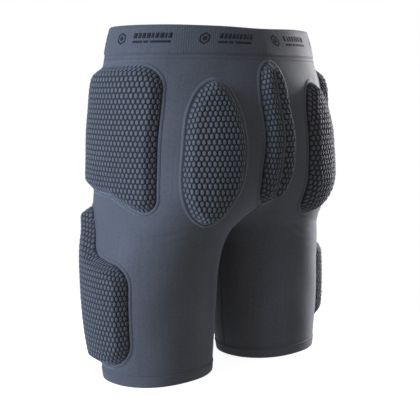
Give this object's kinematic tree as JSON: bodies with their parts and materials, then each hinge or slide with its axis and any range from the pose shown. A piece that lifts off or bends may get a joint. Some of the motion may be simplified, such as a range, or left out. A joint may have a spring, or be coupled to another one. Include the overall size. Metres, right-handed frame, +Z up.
{
  "type": "padded impact shorts",
  "caption": "Close-fitting stretch-knit snow-sports shorts with covered foam pads over the hips, outer thighs, seat and tailbone.",
  "frame": {"origin": "on the centre plane, level with the leg hem edges, halfway between the front and the back of the bounding box", "axes": "+Z up from the hems to the waistband, -Y towards the wearer's front, +X towards the wearer's left"},
  "size_m": [0.3906, 0.2573, 0.45],
  "materials": {
    "body_knit": "fine stretch knit, dark slate, matte with a faint sheen",
    "waistband": "dense ribbed elastic, dark slate, with a darker printed pattern",
    "pad_cover": "moulded stretch cover, raised hexagon cells, matte",
    "rim": "pressed knit edge, matte",
    "thread": "cover stitching, polyester thread",
    "foam": "soft impact foam"
  },
  "bodies": {
    "root": {"left_body_panel": "body_knit", "right_body_panel": "body_knit", "waistband": "waistband", "waistband_seam": "thread", "left_leg_hem": "body_knit", "right_leg_hem": "body_knit", "left_hem_seam": "thread", "right_hem_seam": "thread", "centre_back_seam": "thread", "centre_front_seam": "thread", "left_inseam": "thread", "right_inseam": "thread", "left_hip_foam_base": "foam", "right_hip_foam_base": "foam", "left_hip_foam_top": "foam", "right_hip_foam_top": "foam", "left_hip_cover": "pad_cover", "right_hip_cover": "pad_cover", "left_hip_rim": "rim", "right_hip_rim": "rim", "left_thigh_foam_base": "foam", "right_thigh_foam_base": "foam", "left_thigh_foam_top": "foam", "right_thigh_foam_top": "foam", "left_thigh_cover": "pad_cover", "right_thigh_cover": "pad_cover", "left_thigh_rim": "rim", "right_thigh_rim": "rim", "left_seat_foam_base": "foam", "right_seat_foam_base": "foam", "left_seat_foam_top": "foam", "right_seat_foam_top": "foam", "left_seat_cover": "pad_cover", "right_seat_cover": "pad_cover", "left_seat_rim": "rim", "right_seat_rim": "rim", "tailbone_foam_base": "foam", "tailbone_foam_top": "foam", "tailbone_rim": "rim", "tailbone_cover_left": "pad_cover", "tailbone_cover_right": "pad_cover", "tailbone_cover_seam": "rim"}
  },
  "joints": []
}
